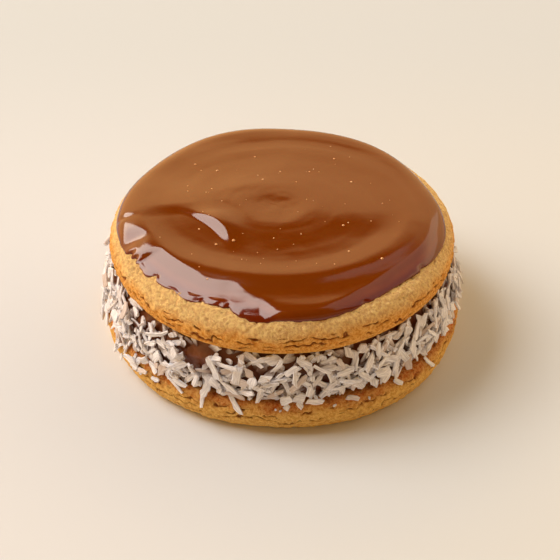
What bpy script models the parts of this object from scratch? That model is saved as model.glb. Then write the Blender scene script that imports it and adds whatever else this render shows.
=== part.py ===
"""Alfajor: two baked biscuits round a dulce de leche filling, its side rolled in coconut, and a
spread of caramel on top.

Units are metres, +Z is up. The origin is on the surface the biscuit rests on, in the middle of the
outline's box. Every layer is a turned body whose outline is then pushed out of round, because
each was cut, baked or spread by hand.
"""
import math

import bmesh
import bpy
from mathutils import Vector

MM = 0.001
GAP = 0.3 * MM                      # clearance kept between two layers

# Driving sizes
BOTTOM_RADIUS = 34.7 * MM
BOTTOM_HEIGHT = 7.0 * MM
TOP_RADIUS = 32.5 * MM
TOP_HEIGHT = 6.5 * MM
FILLING_RADIUS = 30.4 * MM
FILLING_HEIGHT = 9.6 * MM
COCONUT_DEPTH = 3.9 * MM            # how far the flakes stand out from the filling
CARAMEL_RADIUS = 30.2 * MM
CARAMEL_HEIGHT = 1.3 * MM
SWIRL_HEIGHT = 0.35 * MM            # crest of the spoon's swirl above the caramel's level

# Heights worked out from them
FILLING_Z = BOTTOM_HEIGHT + GAP
TOP_Z = FILLING_Z + FILLING_HEIGHT + GAP
CARAMEL_Z = TOP_Z + TOP_HEIGHT + GAP

# The biscuits' sides: how far in each rounded edge starts, and the height where each is widest
BOTTOM_SHOULDER = 1.4 * MM
BOTTOM_TUCK = 3.3 * MM
BOTTOM_WIDEST_Z = 4.2 * MM
SHOULDER = 2.4 * MM
TUCK = 0.9 * MM
TOP_WIDEST_Z = TOP_Z + 2.2 * MM

# Waves round each outline: (lobes, height, direction of one crest in degrees)
BOTTOM_WAVES = ((2, 0.11 * MM, -82), (3, 0.16 * MM, 0), (4, 0.37 * MM, 39))
TOP_WAVES = ((2, 0.16 * MM, -46), (3, 0.22 * MM, 5), (4, 0.11 * MM, 8))
FILLING_WAVES = ((2, 0.20 * MM, 20), (5, 0.18 * MM, 60))
CARAMEL_WAVES = ((1, 0.20 * MM, 160), (2, 0.25 * MM, -33), (4, 0.38 * MM, 0), (5, 0.35 * MM, -19),
                 (6, 0.28 * MM, -9))

# The swirl: a ridge left by the back of a spoon, winding out and round anticlockwise
SWIRL_CENTRE = Vector((-1.0 * MM, 1.5 * MM))
SWIRL_START = math.radians(150)     # direction in which it starts
SWIRL_TURNS = 0.8
SWIRL_INNER = 11.5 * MM
SWIRL_OUTER = 23.5 * MM
SWIRL_WIDTH = 3.0 * MM
HOLLOW_DEPTH = 0.25 * MM            # dip where the spoon was lifted
HOLLOW_RADIUS = 6.0 * MM

# Relief on the sides
SLUMP = 0.09 * MM                   # low bulges in the baked dough
TUFT = 0.35 * MM                    # tufts in the coconut's outline
TUFT_LEAN = 4.0 / MM                # how fast a tuft leans round as it rises, radians a metre


def waves(angle, terms):
    """Sum of cosine waves round the outline at an angle in radians."""
    return sum(height * math.cos(lobes * (angle - math.radians(crest))) for lobes, height, crest in terms)


def arc(centre, radii, start, end, count):
    """Points (radius, height) along an elliptical arc of a profile, from start to end in degrees."""
    points = []
    for i in range(count + 1):
        angle = math.radians(start + (end - start) * i / count)
        points.append((centre[0] + radii[0] * math.cos(angle), centre[1] + radii[1] * math.sin(angle)))
    return points


def turned(name, profile, steps, closed=False):
    """Mesh turned round +Z from a profile of (radius, height) points running down its outer side."""
    bm = bmesh.new()
    points = [bm.verts.new((radius, 0.0, height)) for radius, height in profile]
    for above, below in zip(points, points[1:]):
        bm.edges.new((above, below))
    if closed:
        bm.edges.new((points[-1], points[0]))
    mesh = bpy.data.meshes.new(name + "_profile")
    bm.to_mesh(mesh)
    bm.free()

    turner = bpy.data.objects.new(name + "_profile", mesh)
    bpy.context.scene.collection.objects.link(turner)
    screw = turner.modifiers.new("turn", "SCREW")
    screw.steps = steps
    screw.render_steps = steps
    screw.use_merge_vertices = True
    screw.merge_threshold = 0.01 * MM
    screw.use_normal_calculate = False
    bpy.context.view_layer.update()
    graph = bpy.context.evaluated_depsgraph_get()
    solid = bpy.data.meshes.new_from_object(turner.evaluated_get(graph))
    bpy.data.objects.remove(turner)
    bpy.data.meshes.remove(mesh)
    return solid


def reshape(mesh, rule):
    """Move every vertex to where the rule puts it, given its radius, angle and height."""
    for vertex in mesh.vertices:
        x, y, z = vertex.co
        radius, angle, height = rule(math.hypot(x, y), math.atan2(y, x), z)
        vertex.co = (radius * math.cos(angle), radius * math.sin(angle), height)
    mesh.update()


def food_material(name, color, roughness):
    """Plain material in a food's colour."""
    material = bpy.data.materials.new(name)
    material.use_nodes = True
    shader = material.node_tree.nodes["Principled BSDF"]
    shader.inputs["Base Color"].default_value = (*color, 1.0)
    shader.inputs["Roughness"].default_value = roughness
    shader.inputs["Metallic"].default_value = 0.0
    return material


def layer(name, mesh, material, collection):
    """Object for one layer, shaded smooth except at its sharp rims."""
    mesh.name = name
    mesh.materials.clear()
    mesh.materials.append(material)
    mesh.shade_smooth()
    mesh.set_sharp_from_angle(angle=math.radians(50))
    thing = bpy.data.objects.new(name, mesh)
    collection.objects.link(thing)
    return thing


def baked_side(angle, share):
    """Low bulges a baked side gets where the dough slumped, at a share 0 to 1 of its height."""
    bulges = math.sin(9 * angle + 1.7 * math.sin(2 * angle)) + 0.6 * math.sin(17 * angle + 2.0)
    return SLUMP * bulges * math.sin(math.pi * share)


def biscuit_bottom():
    """Lower biscuit: flat face up, its side rounding in underneath to a flat foot."""
    inside = BOTTOM_RADIUS - BOTTOM_SHOULDER
    foot = BOTTOM_RADIUS - BOTTOM_TUCK
    profile = [(0.0, BOTTOM_HEIGHT)]
    profile += arc((inside, BOTTOM_WIDEST_Z), (BOTTOM_SHOULDER, BOTTOM_HEIGHT - BOTTOM_WIDEST_Z), 90, 0, 5)
    profile += arc((foot, BOTTOM_WIDEST_Z), (BOTTOM_TUCK, BOTTOM_WIDEST_Z), -14, -90, 5)
    profile += [(0.0, 0.0)]
    mesh = turned("biscuit_bottom", profile, 72)

    def rule(radius, angle, z):
        rim = radius / BOTTOM_RADIUS
        outline = waves(angle, BOTTOM_WAVES) * rim
        return radius + outline + baked_side(angle, z / BOTTOM_HEIGHT) * rim ** 4, angle, z

    reshape(mesh, rule)
    return mesh


def biscuit_top():
    """Upper biscuit: flat face down with a tight lower edge, and a broad rounded shoulder."""
    top = TOP_Z + TOP_HEIGHT
    inside = TOP_RADIUS - SHOULDER
    profile = [(0.0, top)]
    profile += arc((inside, TOP_WIDEST_Z), (SHOULDER, top - TOP_WIDEST_Z), 90, 0, 7)
    profile += arc((TOP_RADIUS - TUCK, TOP_WIDEST_Z), (TUCK, TOP_WIDEST_Z - TOP_Z), -25, -90, 4)
    profile += [(0.0, TOP_Z)]
    mesh = turned("biscuit_top", profile, 72)

    def rule(radius, angle, z):
        rim = radius / TOP_RADIUS
        outline = waves(angle, TOP_WAVES) * rim
        share = (z - TOP_Z) / TOP_HEIGHT
        return radius + outline + baked_side(angle + 1.0, share) * rim ** 4, angle, z

    reshape(mesh, rule)
    return mesh


def filling():
    """Dulce de leche between the biscuits, squeezed until its side bulges a little."""
    bulge = 0.5 * MM
    profile = [(0.0, FILLING_Z + FILLING_HEIGHT)]
    profile += arc((FILLING_RADIUS - bulge, FILLING_Z + FILLING_HEIGHT / 2),
                   (bulge, FILLING_HEIGHT / 2), 90, -90, 6)
    profile += [(0.0, FILLING_Z)]
    mesh = turned("filling", profile, 48)

    def rule(radius, angle, z):
        return radius + waves(angle, FILLING_WAVES) * radius / FILLING_RADIUS, angle, z

    reshape(mesh, rule)
    return mesh


def coconut_band():
    """Coconut stuck to the filling's side: one ring out to the flakes' uneven outline."""
    inner = FILLING_RADIUS + GAP
    middle = FILLING_Z + 0.45 * FILLING_HEIGHT
    below = middle - FILLING_Z
    above = FILLING_Z + FILLING_HEIGHT - middle
    waist = inner + 0.4 * COCONUT_DEPTH
    profile = arc((waist, middle), (0.6 * COCONUT_DEPTH, above), 90, 0, 4)
    profile += arc((waist, middle), (0.6 * COCONUT_DEPTH, below), -22.5, -90, 3)
    profile += [(inner, FILLING_Z), (inner, FILLING_Z + FILLING_HEIGHT)]
    mesh = turned("coconut_band", profile, 96, closed=True)

    def rule(radius, angle, z):
        outward = max(0.0, (radius - waist) / (inner + COCONUT_DEPTH - waist))
        tufts = math.sin(13 * angle + 2.0 * math.sin(3 * angle)) + math.sin(29 * angle + TUFT_LEAN * z)
        return radius + waves(angle, FILLING_WAVES) + TUFT * tufts * outward, angle, z

    reshape(mesh, rule)
    return mesh


def swirl_height(x, y):
    """Height of the spoon's swirl over the caramel's level: a winding crest and a dip inside it."""
    from_centre = Vector((x, y)) - SWIRL_CENTRE
    distance = from_centre.length
    turn = ((math.atan2(from_centre.y, from_centre.x) - SWIRL_START) / math.tau) % 1.0
    crest = SWIRL_INNER + (SWIRL_OUTER - SWIRL_INNER) * min(1.0, turn / SWIRL_TURNS)
    fade = math.sin(math.pi * turn) ** 0.5
    ridge = SWIRL_HEIGHT * fade * math.exp(-((distance - crest) / SWIRL_WIDTH) ** 2)
    hollow = HOLLOW_DEPTH * math.exp(-(distance / HOLLOW_RADIUS) ** 2)
    return ridge - hollow


def shoulder_drop(radius, angle):
    """How far the upper biscuit's top has fallen away at this radius, past the start of its shoulder."""
    past = radius - (TOP_RADIUS + waves(angle, TOP_WAVES) - SHOULDER)
    share = min(0.95, max(0.0, past / SHOULDER))
    return (TOP_Z + TOP_HEIGHT - TOP_WIDEST_Z) * (1.0 - math.sqrt(1.0 - share * share))


def caramel_top():
    """Caramel spread almost to the edge: a rounded rim that lies over the biscuit's shoulder, with
    the spoon's swirl inside it."""
    rim = 1.6 * MM
    level = CARAMEL_Z + CARAMEL_HEIGHT
    inside = CARAMEL_RADIUS - rim
    rings = 11
    profile = [(inside * i / rings, level) for i in range(rings)]
    profile += arc((inside, CARAMEL_Z + 0.3 * MM), (rim, CARAMEL_HEIGHT - 0.3 * MM), 90, 0, 6)
    profile += [(CARAMEL_RADIUS - 0.3 * MM, CARAMEL_Z), (inside, CARAMEL_Z), (0.0, CARAMEL_Z)]
    mesh = turned("caramel_top", profile, 80)

    def rule(radius, angle, z):
        spread = radius + waves(angle, CARAMEL_WAVES) * (radius / CARAMEL_RADIUS) ** 3
        lift = (z - CARAMEL_Z) / CARAMEL_HEIGHT
        swirl = swirl_height(spread * math.cos(angle), spread * math.sin(angle))
        return spread, angle, z + lift * swirl - shoulder_drop(spread, angle)

    reshape(mesh, rule)
    return mesh


def centre_on_origin(things):
    """Slide all the layers together so that the outline's box is centred on the origin."""
    corners = [vertex.co for thing in things for vertex in thing.data.vertices]
    slide = Vector((0.0, 0.0, 0.0))
    for axis in (0, 1):
        values = [corner[axis] for corner in corners]
        slide[axis] = -(min(values) + max(values)) / 2
    for thing in things:
        for vertex in thing.data.vertices:
            vertex.co += slide


def main():
    for thing in list(bpy.data.objects):
        bpy.data.objects.remove(thing)
    collection = bpy.data.collections.new("alfajor")
    bpy.context.scene.collection.children.link(collection)

    baked = food_material("baked_biscuit", (0.60, 0.33, 0.11), 0.85)
    caramel = food_material("caramel", (0.24, 0.055, 0.006), 0.12)
    sauce = food_material("dulce_de_leche", (0.22, 0.075, 0.025), 0.35)
    coconut = food_material("coconut", (0.72, 0.66, 0.58), 0.75)

    layers = [
        layer("biscuit_bottom", biscuit_bottom(), baked, collection),
        layer("filling", filling(), sauce, collection),
        layer("coconut_band", coconut_band(), coconut, collection),
        layer("biscuit_top", biscuit_top(), baked, collection),
        layer("caramel_top", caramel_top(), caramel, collection),
    ]
    centre_on_origin(layers)


main()
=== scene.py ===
# %% [markdown]
# # An alfajor with a caramel top
#
# An alfajor is two baked biscuits held together by dulce de leche. The side of this one was rolled
# in desiccated coconut and its top was spread with caramel. The plain solids of every layer come
# first, as a fixed frame: they say where each layer is and how large. Each solid is then replaced by
# a fine surface that looks like the food.

# %% Load the frame
import math

import bpy
import numpy as np
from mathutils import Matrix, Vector


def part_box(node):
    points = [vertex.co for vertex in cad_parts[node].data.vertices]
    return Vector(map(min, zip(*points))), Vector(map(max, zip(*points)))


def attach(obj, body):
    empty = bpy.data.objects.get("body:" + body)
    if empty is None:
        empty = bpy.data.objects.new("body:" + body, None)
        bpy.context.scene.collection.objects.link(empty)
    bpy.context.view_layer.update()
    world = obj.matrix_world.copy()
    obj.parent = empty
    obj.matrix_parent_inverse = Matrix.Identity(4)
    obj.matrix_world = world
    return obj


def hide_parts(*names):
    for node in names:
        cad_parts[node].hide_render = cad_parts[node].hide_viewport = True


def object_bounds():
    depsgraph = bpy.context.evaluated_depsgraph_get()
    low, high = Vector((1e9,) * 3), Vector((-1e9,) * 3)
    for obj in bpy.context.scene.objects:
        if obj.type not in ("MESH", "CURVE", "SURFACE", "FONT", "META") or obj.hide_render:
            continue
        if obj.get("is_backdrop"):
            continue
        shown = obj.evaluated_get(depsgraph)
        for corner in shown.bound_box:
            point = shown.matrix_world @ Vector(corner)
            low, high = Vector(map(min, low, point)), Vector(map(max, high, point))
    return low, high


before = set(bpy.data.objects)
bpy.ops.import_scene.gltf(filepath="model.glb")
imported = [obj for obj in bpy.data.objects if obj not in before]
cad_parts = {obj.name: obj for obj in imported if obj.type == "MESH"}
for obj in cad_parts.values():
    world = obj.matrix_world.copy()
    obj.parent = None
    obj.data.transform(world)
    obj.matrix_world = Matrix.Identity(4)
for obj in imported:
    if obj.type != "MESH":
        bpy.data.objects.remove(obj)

MM = 0.001
TURN = 2 * math.pi
solid_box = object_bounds()
print("layers:", ", ".join(sorted(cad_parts)))
print("box in mm:", [[round(v / MM, 1) for v in corner] for corner in solid_box])

# %% [markdown]
# ## Heights and outlines
#
# Heights come from each solid's box. An outline is read off the solid's corners: the widest reach in
# each of 72 directions. Only the slow waves of that list are kept, with a Fourier sum, because a sum
# of cosines can be worked out at any angle and has no facets.

# %% Heights and outlines of the layers
SECTORS = 72
SLOW_WAVES = 9


def outline(node, angle):
    """Radius of a layer at each angle: a Fourier sum of the widest reach of its solid's corners."""
    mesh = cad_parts[node].data
    corners = np.empty(len(mesh.vertices) * 3, np.float32)
    mesh.vertices.foreach_get("co", corners)
    x, y, _ = corners.reshape(-1, 3).T
    sector = np.round(np.arctan2(y, x) / TURN * SECTORS).astype(int) % SECTORS
    reach = np.zeros(SECTORS)
    np.maximum.at(reach, sector, np.hypot(x, y))
    wave = np.fft.rfft(reach) / SECTORS
    radius = np.full(np.shape(angle), wave[0].real)
    for k in range(1, SLOW_WAVES):
        radius += 2 * (wave[k].real * np.cos(k * angle) - wave[k].imag * np.sin(k * angle))
    return radius


BOTTOM_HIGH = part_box("biscuit_bottom")[1].z
TOP_LOW, TOP_HIGH = (corner.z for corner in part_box("biscuit_top"))
print("lower biscuit up to", round(BOTTOM_HIGH / MM, 2), "mm")
print("upper biscuit from", round(TOP_LOW / MM, 2), "to", round(TOP_HIGH / MM, 2), "mm")

# %% [markdown]
# ## Noise on whole arrays
#
# Baked dough, torn flakes and spread caramel are uneven in a smooth, random way. Noise gives that: a
# random number sits at each corner of a lattice of cubes, and a point gets a blend of its cube's
# eight corners. The cubes' size sets the size of the lumps. The numbers come from mixing the
# corner's own whole numbers, so the result is the same on every run.

# %% Noise, ramps and bumps


def corner_number(i, j, k, seed):
    """Random number from 0 to 1 for a lattice corner, mixed from its three whole numbers."""
    mixed = (i * 73856093) ^ (j * 19349663) ^ (k * 83492791) ^ (seed * 49979687)
    mixed = (mixed ^ (mixed >> 13)) * 1274126177
    return ((mixed ^ (mixed >> 16)) & 0xFFFF) / 0xFFFF


def noise(points, cell, seed):
    """Smooth random value from -1 to 1 at each point, with lumps the size of a cell: the numbers of
    the eight corners round it, weighted by 3 t^2 - 2 t^3 in each direction."""
    scaled = points / np.asarray(cell)
    base = np.floor(scaled).astype(np.int64)
    part = scaled - base
    part = part * part * (3 - 2 * part)
    total = 0.0
    for step in np.ndindex(2, 2, 2):
        weight = np.prod(np.where(step, part, 1 - part), axis=-1)
        total = total + weight * corner_number(*np.moveaxis(base + step, -1, 0), seed)
    return 2 * total - 1


def ramp(value, low, high):
    """0 below low, 1 above high, and between them the S-curve 3 t^2 - 2 t^3."""
    share = np.clip((value - low) / (high - low), 0, 1)
    return share * share * (3 - 2 * share)


def bump(value, centre, width):
    """Bell curve exp(-t^2), t the distance from the centre in widths: about a third at one width."""
    return np.exp(-((value - centre) / width) ** 2)


def apart(angle, degrees):
    """Signed difference in radians between angles and one direction given in degrees."""
    return (angle - math.radians(degrees) + math.pi) % TURN - math.pi


print("noise at three places:", noise(np.eye(3), 0.7, 1).round(2))

# %% [markdown]
# ## From a grid of points to a mesh
#
# Every big surface here is a grid: rows run down the profile and columns run round the biscuit. Four
# neighbours make a face, the last column joins the first, and one point closes each pole. The
# corners of a face run anticlockwise as seen from outside, so that the face looks outwards.

# %% An object from points and faces


def new_piece(name, points, faces, extra=None, sharp=None):
    """Object at the origin, with its place in its mesh. Faces are arrays of corner numbers, extra
    holds one value or one vector for each point under the name that a material reads, and sharp is
    the angle in degrees past which an edge stays crisp."""
    mesh = bpy.data.meshes.new(name)
    sizes = np.concatenate([np.full(len(part), part.shape[1]) for part in faces])
    corners = np.concatenate([part.ravel() for part in faces])
    mesh.vertices.add(len(points))
    mesh.vertices.foreach_set("co", np.ascontiguousarray(points, np.float32).ravel())
    mesh.loops.add(len(corners))
    mesh.loops.foreach_set("vertex_index", corners.astype(np.int32))
    mesh.polygons.add(len(sizes))
    mesh.polygons.foreach_set("loop_start", (np.cumsum(sizes) - sizes).astype(np.int32))
    mesh.update(calc_edges=True)
    mesh.validate()
    for key, values in (extra or {}).items():
        kind, field = ("FLOAT", "value") if np.ndim(values) == 1 else ("FLOAT_VECTOR", "vector")
        store = mesh.attributes.new(key, kind, "POINT")
        store.data.foreach_set(field, np.ascontiguousarray(values, np.float32).ravel())
    mesh.shade_smooth()
    if sharp:
        mesh.set_sharp_from_angle(angle=math.radians(sharp))
    piece = bpy.data.objects.new(name, mesh)
    bpy.context.scene.collection.objects.link(piece)
    print(f"{name}: {len(points)} points, {int((sizes - 2).sum())} triangles")
    return piece


# %% Faces and normals of a turned grid


def turned_faces(rows, columns):
    """Faces of a turned grid, with one extra point for the top pole and one for the bottom pole."""
    here = np.arange(rows * columns).reshape(rows, columns)
    beside = np.roll(here, -1, axis=1)
    sides = np.stack([here[:-1], here[1:], beside[1:], beside[:-1]], axis=-1).reshape(-1, 4)
    top, bottom = rows * columns, rows * columns + 1
    lid = np.stack([np.full(columns, top), here[0], beside[0]], axis=-1)
    foot = np.stack([np.full(columns, bottom), beside[-1], here[-1]], axis=-1)
    return [sides, lid, foot]


def turned_piece(name, grid, extra=None):
    """Closed turned surface from a (rows, columns, 3) grid: the poles are the means of the end rows."""
    rows, columns, _ = grid.shape
    points = np.concatenate([grid.reshape(-1, 3), [grid[0].mean(axis=0), grid[-1].mean(axis=0)]])
    stored = {}
    for key, values in (extra or {}).items():
        stored[key] = np.concatenate([values.ravel(), [values[0].mean(), values[-1].mean()]])
    return new_piece(name, points, turned_faces(rows, columns), stored)


def outward(grid):
    """Unit normals of a turned grid: the step down the rows crossed with the step round them."""
    down = np.gradient(grid, axis=0)
    around = np.roll(grid, -1, axis=1) - np.roll(grid, 1, axis=1)
    normal = np.cross(down, around)
    return normal / np.maximum(np.linalg.norm(normal, axis=-1, keepdims=True), 1e-12)


def columns_of(count):
    """Angles of the columns round the biscuit, in radians from -pi."""
    return np.linspace(-math.pi, math.pi, count, endpoint=False)


print("four columns stand at", np.degrees(columns_of(4)).round(), "degrees")

# %% [markdown]
# ## Sums with shader sockets
#
# A material is a network of nodes. It reads better as arithmetic, so a socket is wrapped in a small
# class whose operators add Math nodes. Every other node comes from one method, which takes the
# node's type, its settings and what goes into its sockets.

# %% A socket with operators


class Wire:
    """Output socket of a node. Arithmetic on it adds a Math node and gives that node's output."""

    def __init__(self, recipe, socket):
        self.recipe = recipe
        self.socket = socket

    def sum(self, operation, first, second):
        return self.recipe.node("ShaderNodeMath", {"operation": operation}, {0: first, 1: second})

    def __add__(self, other):
        return self.sum("ADD", self, other)

    def __sub__(self, other):
        return self.sum("SUBTRACT", self, other)

    def __rsub__(self, other):
        return self.sum("SUBTRACT", other, self)

    def __mul__(self, other):
        return self.sum("MULTIPLY", self, other)

    __radd__ = __add__
    __rmul__ = __mul__


# %% A tree of nodes


class Recipe:
    """The node tree of one material or of the world."""

    def __init__(self, tree):
        self.tree = tree

    def node(self, kind, settings=None, sockets=None, output=0):
        """Adds a node: its settings first, such as an operation, then its sockets' values or links."""
        made = self.tree.nodes.new(kind)
        for key, value in (settings or {}).items():
            setattr(made, key, value)
        for key, value in (sockets or {}).items():
            if isinstance(value, Wire):
                self.tree.links.new(value.socket, made.inputs[key])
            else:
                made.inputs[key].default_value = value
        return Wire(self, made.outputs[output])

    def place(self):
        """Object coordinates, in metres."""
        return self.node("ShaderNodeTexCoord", output="Object")

    def stored(self, key, output="Fac"):
        """A value or a vector that the mesh stores for each point."""
        return self.node("ShaderNodeAttribute", {"attribute_name": key}, output=output)

    def noise(self, at, size, detail=2.0, roughness=0.5):
        """Noise from 0 to 1 with lumps of a size in metres."""
        sockets = {"Vector": at, "Scale": 1 / size, "Detail": detail, "Roughness": roughness}
        return self.node("ShaderNodeTexNoise", {}, sockets, "Fac")

    def spread(self, value, low, high):
        """Stretches the range low to high of a value to 0 to 1, smoothly and cut off at its ends."""
        sockets = {"Value": value, "From Min": low, "From Max": high}
        return self.node("ShaderNodeMapRange", {"interpolation_type": "SMOOTHSTEP"}, sockets)

    def blend(self, share, first, second):
        """Mixes two colours."""
        sockets = {0: share, 6: first, 7: second}
        return self.node("ShaderNodeMix", {"data_type": "RGBA"}, sockets, 2)

    def bumps(self, height, depth):
        """Normal of a surface with bumps up to a depth in metres."""
        return self.node("ShaderNodeBump", {}, {"Height": height, "Distance": depth}, "Normal")


# %% Colours and materials


def shade(red, green, blue):
    """Colour given as on a screen, 0 to 255, as the linear light that shaders use: a straight line
    up to 0.04, and the power 2.4 above it."""
    share = np.array([red, green, blue]) / 255
    light = np.where(share <= 0.04045, share / 12.92, ((share + 0.055) / 1.055) ** 2.4)
    return (*(float(v) for v in light), 1.0)


def food_material(name, **constants):
    """Material and its recipe, with the shader's constant sockets set: an underscore is a space."""
    material = bpy.data.materials.new(name)
    material.use_nodes = True
    shader = material.node_tree.nodes["Principled BSDF"]
    for key, value in constants.items():
        shader.inputs[key.replace("_", " ")].default_value = value
    return material, Recipe(material.node_tree), shader


def feed(recipe, shader, **wires):
    """Links finished wires to the shader's sockets."""
    for key, wire in wires.items():
        recipe.tree.links.new(wire.socket, shader.inputs[key.replace("_", " ")])


print("mid grey of a screen in linear light:", round(shade(128, 128, 128)[0], 3))

# %% [markdown]
# ## The dough
#
# Baked shortbread is sandy: grains of flour and sugar, small pits where fat melted, and cracks that
# run along the side because the dough spread as it baked. The coarse part of this has to be real
# shape, or the outline would stay smooth, so it is worked out as a height over the plain surface.
# The finest grain is left to the material.

# %% Relief of baked dough
CRACK_SPACING = 1.4 * MM
CRACK_DEPTH = 0.45 * MM
PIT_SIZE = 0.62 * MM
PIT_DEPTH = 0.15 * MM


def cracks(points, seed):
    """1 in jagged cracks that run along the side: a bell curve about levels that are one spacing
    apart, pushed up and down by three sizes of noise, of uneven width, and broken off where another
    noise is low."""
    pushed = points[..., 2] / CRACK_SPACING + 0.9 * noise(points, 5.5 * MM, seed)
    pushed = pushed + 0.45 * noise(points, 1.5 * MM, seed + 1) + 0.28 * noise(points, 0.7 * MM, seed + 6)
    stretches = ramp(noise(points, (2.2 * MM, 2.2 * MM, 1.1 * MM), seed + 2), -0.35, 0.10)
    wide = 0.11 + 0.10 * noise(points, 0.8 * MM, seed + 7)
    return bump(pushed - np.floor(pushed), 0.5, np.maximum(wide, 0.03)) * stretches


def pits(points, seed):
    """1 in small scattered pits: the highest peaks of a fine noise."""
    return ramp(noise(points, PIT_SIZE, seed), 0.5, 0.85)


def dough(points, seed):
    """Height in metres of the dough's relief: the sum of swells 8 mm across, lumps of 2.6 mm and
    grain of 1.1 and 0.6 mm, each a noise with its own depth in mm."""
    height = 0.16 * noise(points, 8 * MM, seed)
    height = height + 0.08 * noise(points, 2.6 * MM, seed + 3)
    height = height + 0.12 * noise(points, 1.1 * MM, seed + 4)
    height = height + 0.12 * noise(points, 0.62 * MM, seed + 5)
    return height * MM


sample = np.random.default_rng(1).uniform(-30 * MM, 30 * MM, (1000, 3))
print("dough relief in mm, lowest and highest:", (dough(sample, 33).min() / MM).round(2),
      (dough(sample, 33).max() / MM).round(2))

# %% [markdown]
# ## One biscuit
#
# A biscuit's profile starts at the middle of its upper face, turns down round a rounded shoulder and
# tucks in under its lower edge. The side gets most of the rows, since all the cracks are there. The
# profile is carried round the outline, and then every point moves along its normal by the relief.
# The upper biscuit spread as it baked, so its shoulder is broad and its lower edge is sharp. The
# lower one lies upside down, with the sharp edge on top.

# %% The profile of a biscuit
COLUMNS = 760
SIDE_ROWS = 92
FACE_ROWS = 14
SHOULDER = 3.8 * MM                 # how far the upper biscuit's shoulder runs in over its face
TUCK = 0.9 * MM                     # how far its lower edge runs in under it
TOP_WIDEST = 2.2 * MM               # height of its widest level over its lower face
BOTTOM_SHOULDER = 1.4 * MM          # the same three for the lower biscuit
BOTTOM_TUCK = 3.3 * MM
BOTTOM_WIDEST = 4.2 * MM


def down_the_side(shoulder, tuck, height, widest, count):
    """Inset and height of evenly spaced points down the side: a quarter ellipse from the upper face
    to the widest level, and another from there to the lower face, its sine and cosine times the
    shoulder or the tuck one way and the height the other."""
    angle = np.linspace(0, math.pi / 2, 200)
    inset = np.concatenate([shoulder * (1 - np.sin(angle)), tuck * (1 - np.cos(angle))])
    level = np.concatenate([widest + (height - widest) * np.cos(angle), widest * (1 - np.sin(angle))])
    length = np.concatenate([[0], np.cumsum(np.hypot(np.diff(inset), np.diff(level)))])
    even = np.linspace(0, length[-1], count)
    return np.interp(even, length, inset), np.interp(even, length, level)


def bottom_outline(angle):
    """The lower biscuit's outline, a little flatter at the front left and fuller at the front."""
    flatter = 0.8 * bump(apart(angle, -143), 0.0, math.radians(30))
    fuller = 0.25 * bump(apart(angle, -88), 0.0, math.radians(30))
    return outline("biscuit_bottom", angle) + (fuller - flatter) * MM


# %% Two biscuits


def biscuit(name, node, radius, shoulder, tuck, widest, crack_levels, seed):
    """Baked biscuit in the place of a solid: the profile, set in from a radius for each column, and
    moved out by the dough's relief less its cracks and pits. The crack levels are the shares of its
    height between which its side is cracked."""
    low, high = (corner.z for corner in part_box(node))
    angle = columns_of(COLUMNS)
    inset, level = down_the_side(shoulder, tuck, high - low, widest, SIDE_ROWS)
    side = radius - inset[:, None]
    inwards = np.linspace(0.04, 1, FACE_ROWS, endpoint=False)[:, None]
    reach = np.concatenate([inwards * side[0], side, inwards[::-1] * side[-1]])
    level = np.concatenate([np.full(FACE_ROWS, high - low), level, np.zeros(FACE_ROWS)])
    height = np.repeat((low + level)[:, None], COLUMNS, axis=1)
    grid = np.stack([reach * np.cos(angle), reach * np.sin(angle), height], axis=-1)

    share = (height - low) / (high - low)
    on_side = ramp(reach, 0.86 * radius, 0.95 * radius)
    banded = ramp(share, crack_levels[0], crack_levels[0] + 0.12)
    banded = banded * (1 - ramp(share, crack_levels[1], crack_levels[1] + 0.15))
    cracked = cracks(grid, seed) * on_side * banded
    pitted = pits(grid, seed + 20) * (0.35 + 0.65 * ramp(share, 0.5, 0.9))
    relief = dough(grid, seed + 30) - CRACK_DEPTH * cracked - PIT_DEPTH * pitted
    above_foot = ramp(share, 0.0, 0.12) + 0.25 * (1 - on_side)
    grid = grid + outward(grid) * (relief * np.clip(above_foot, 0, 1))[..., None]
    grid[..., 2] = np.maximum(grid[..., 2], low)
    # the cracks and pits are stored so that the material can paint them darker, a painted shade
    return turned_piece(name, grid, {"crack": np.maximum(cracked, 0.4 * pitted), "share": share})


top_biscuit = biscuit("top_biscuit", "biscuit_top", outline("biscuit_top", columns_of(COLUMNS)),
                      SHOULDER, TUCK, TOP_WIDEST, (0.06, 0.50), 3)
bottom_biscuit = biscuit("bottom_biscuit", "biscuit_bottom", bottom_outline(columns_of(COLUMNS)),
                         BOTTOM_SHOULDER, BOTTOM_TUCK, BOTTOM_WIDEST, (0.25, 0.75), 57)

# %% [markdown]
# ## Colour of the dough
#
# The oven browns what it reaches. The upper biscuit is palest on its shoulder and more golden
# towards its lower edge, and the lower biscuit's upper rim, which lay on the hot tray, is the
# brownest; that brown is partly crust and partly a painted shade under the coconut that hangs over
# it. Cracks and pits are painted darker, a painted shade in these hollows. The share of the height
# and the cracks were stored on the mesh, so the colour follows the shape exactly. One fine noise,
# the sand, gives the darker and lighter grains and also the bumps, so that the low grains are the
# dark ones: partly the grain's own colour, partly a painted shade in its hollows.

# %% Dough materials


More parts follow.
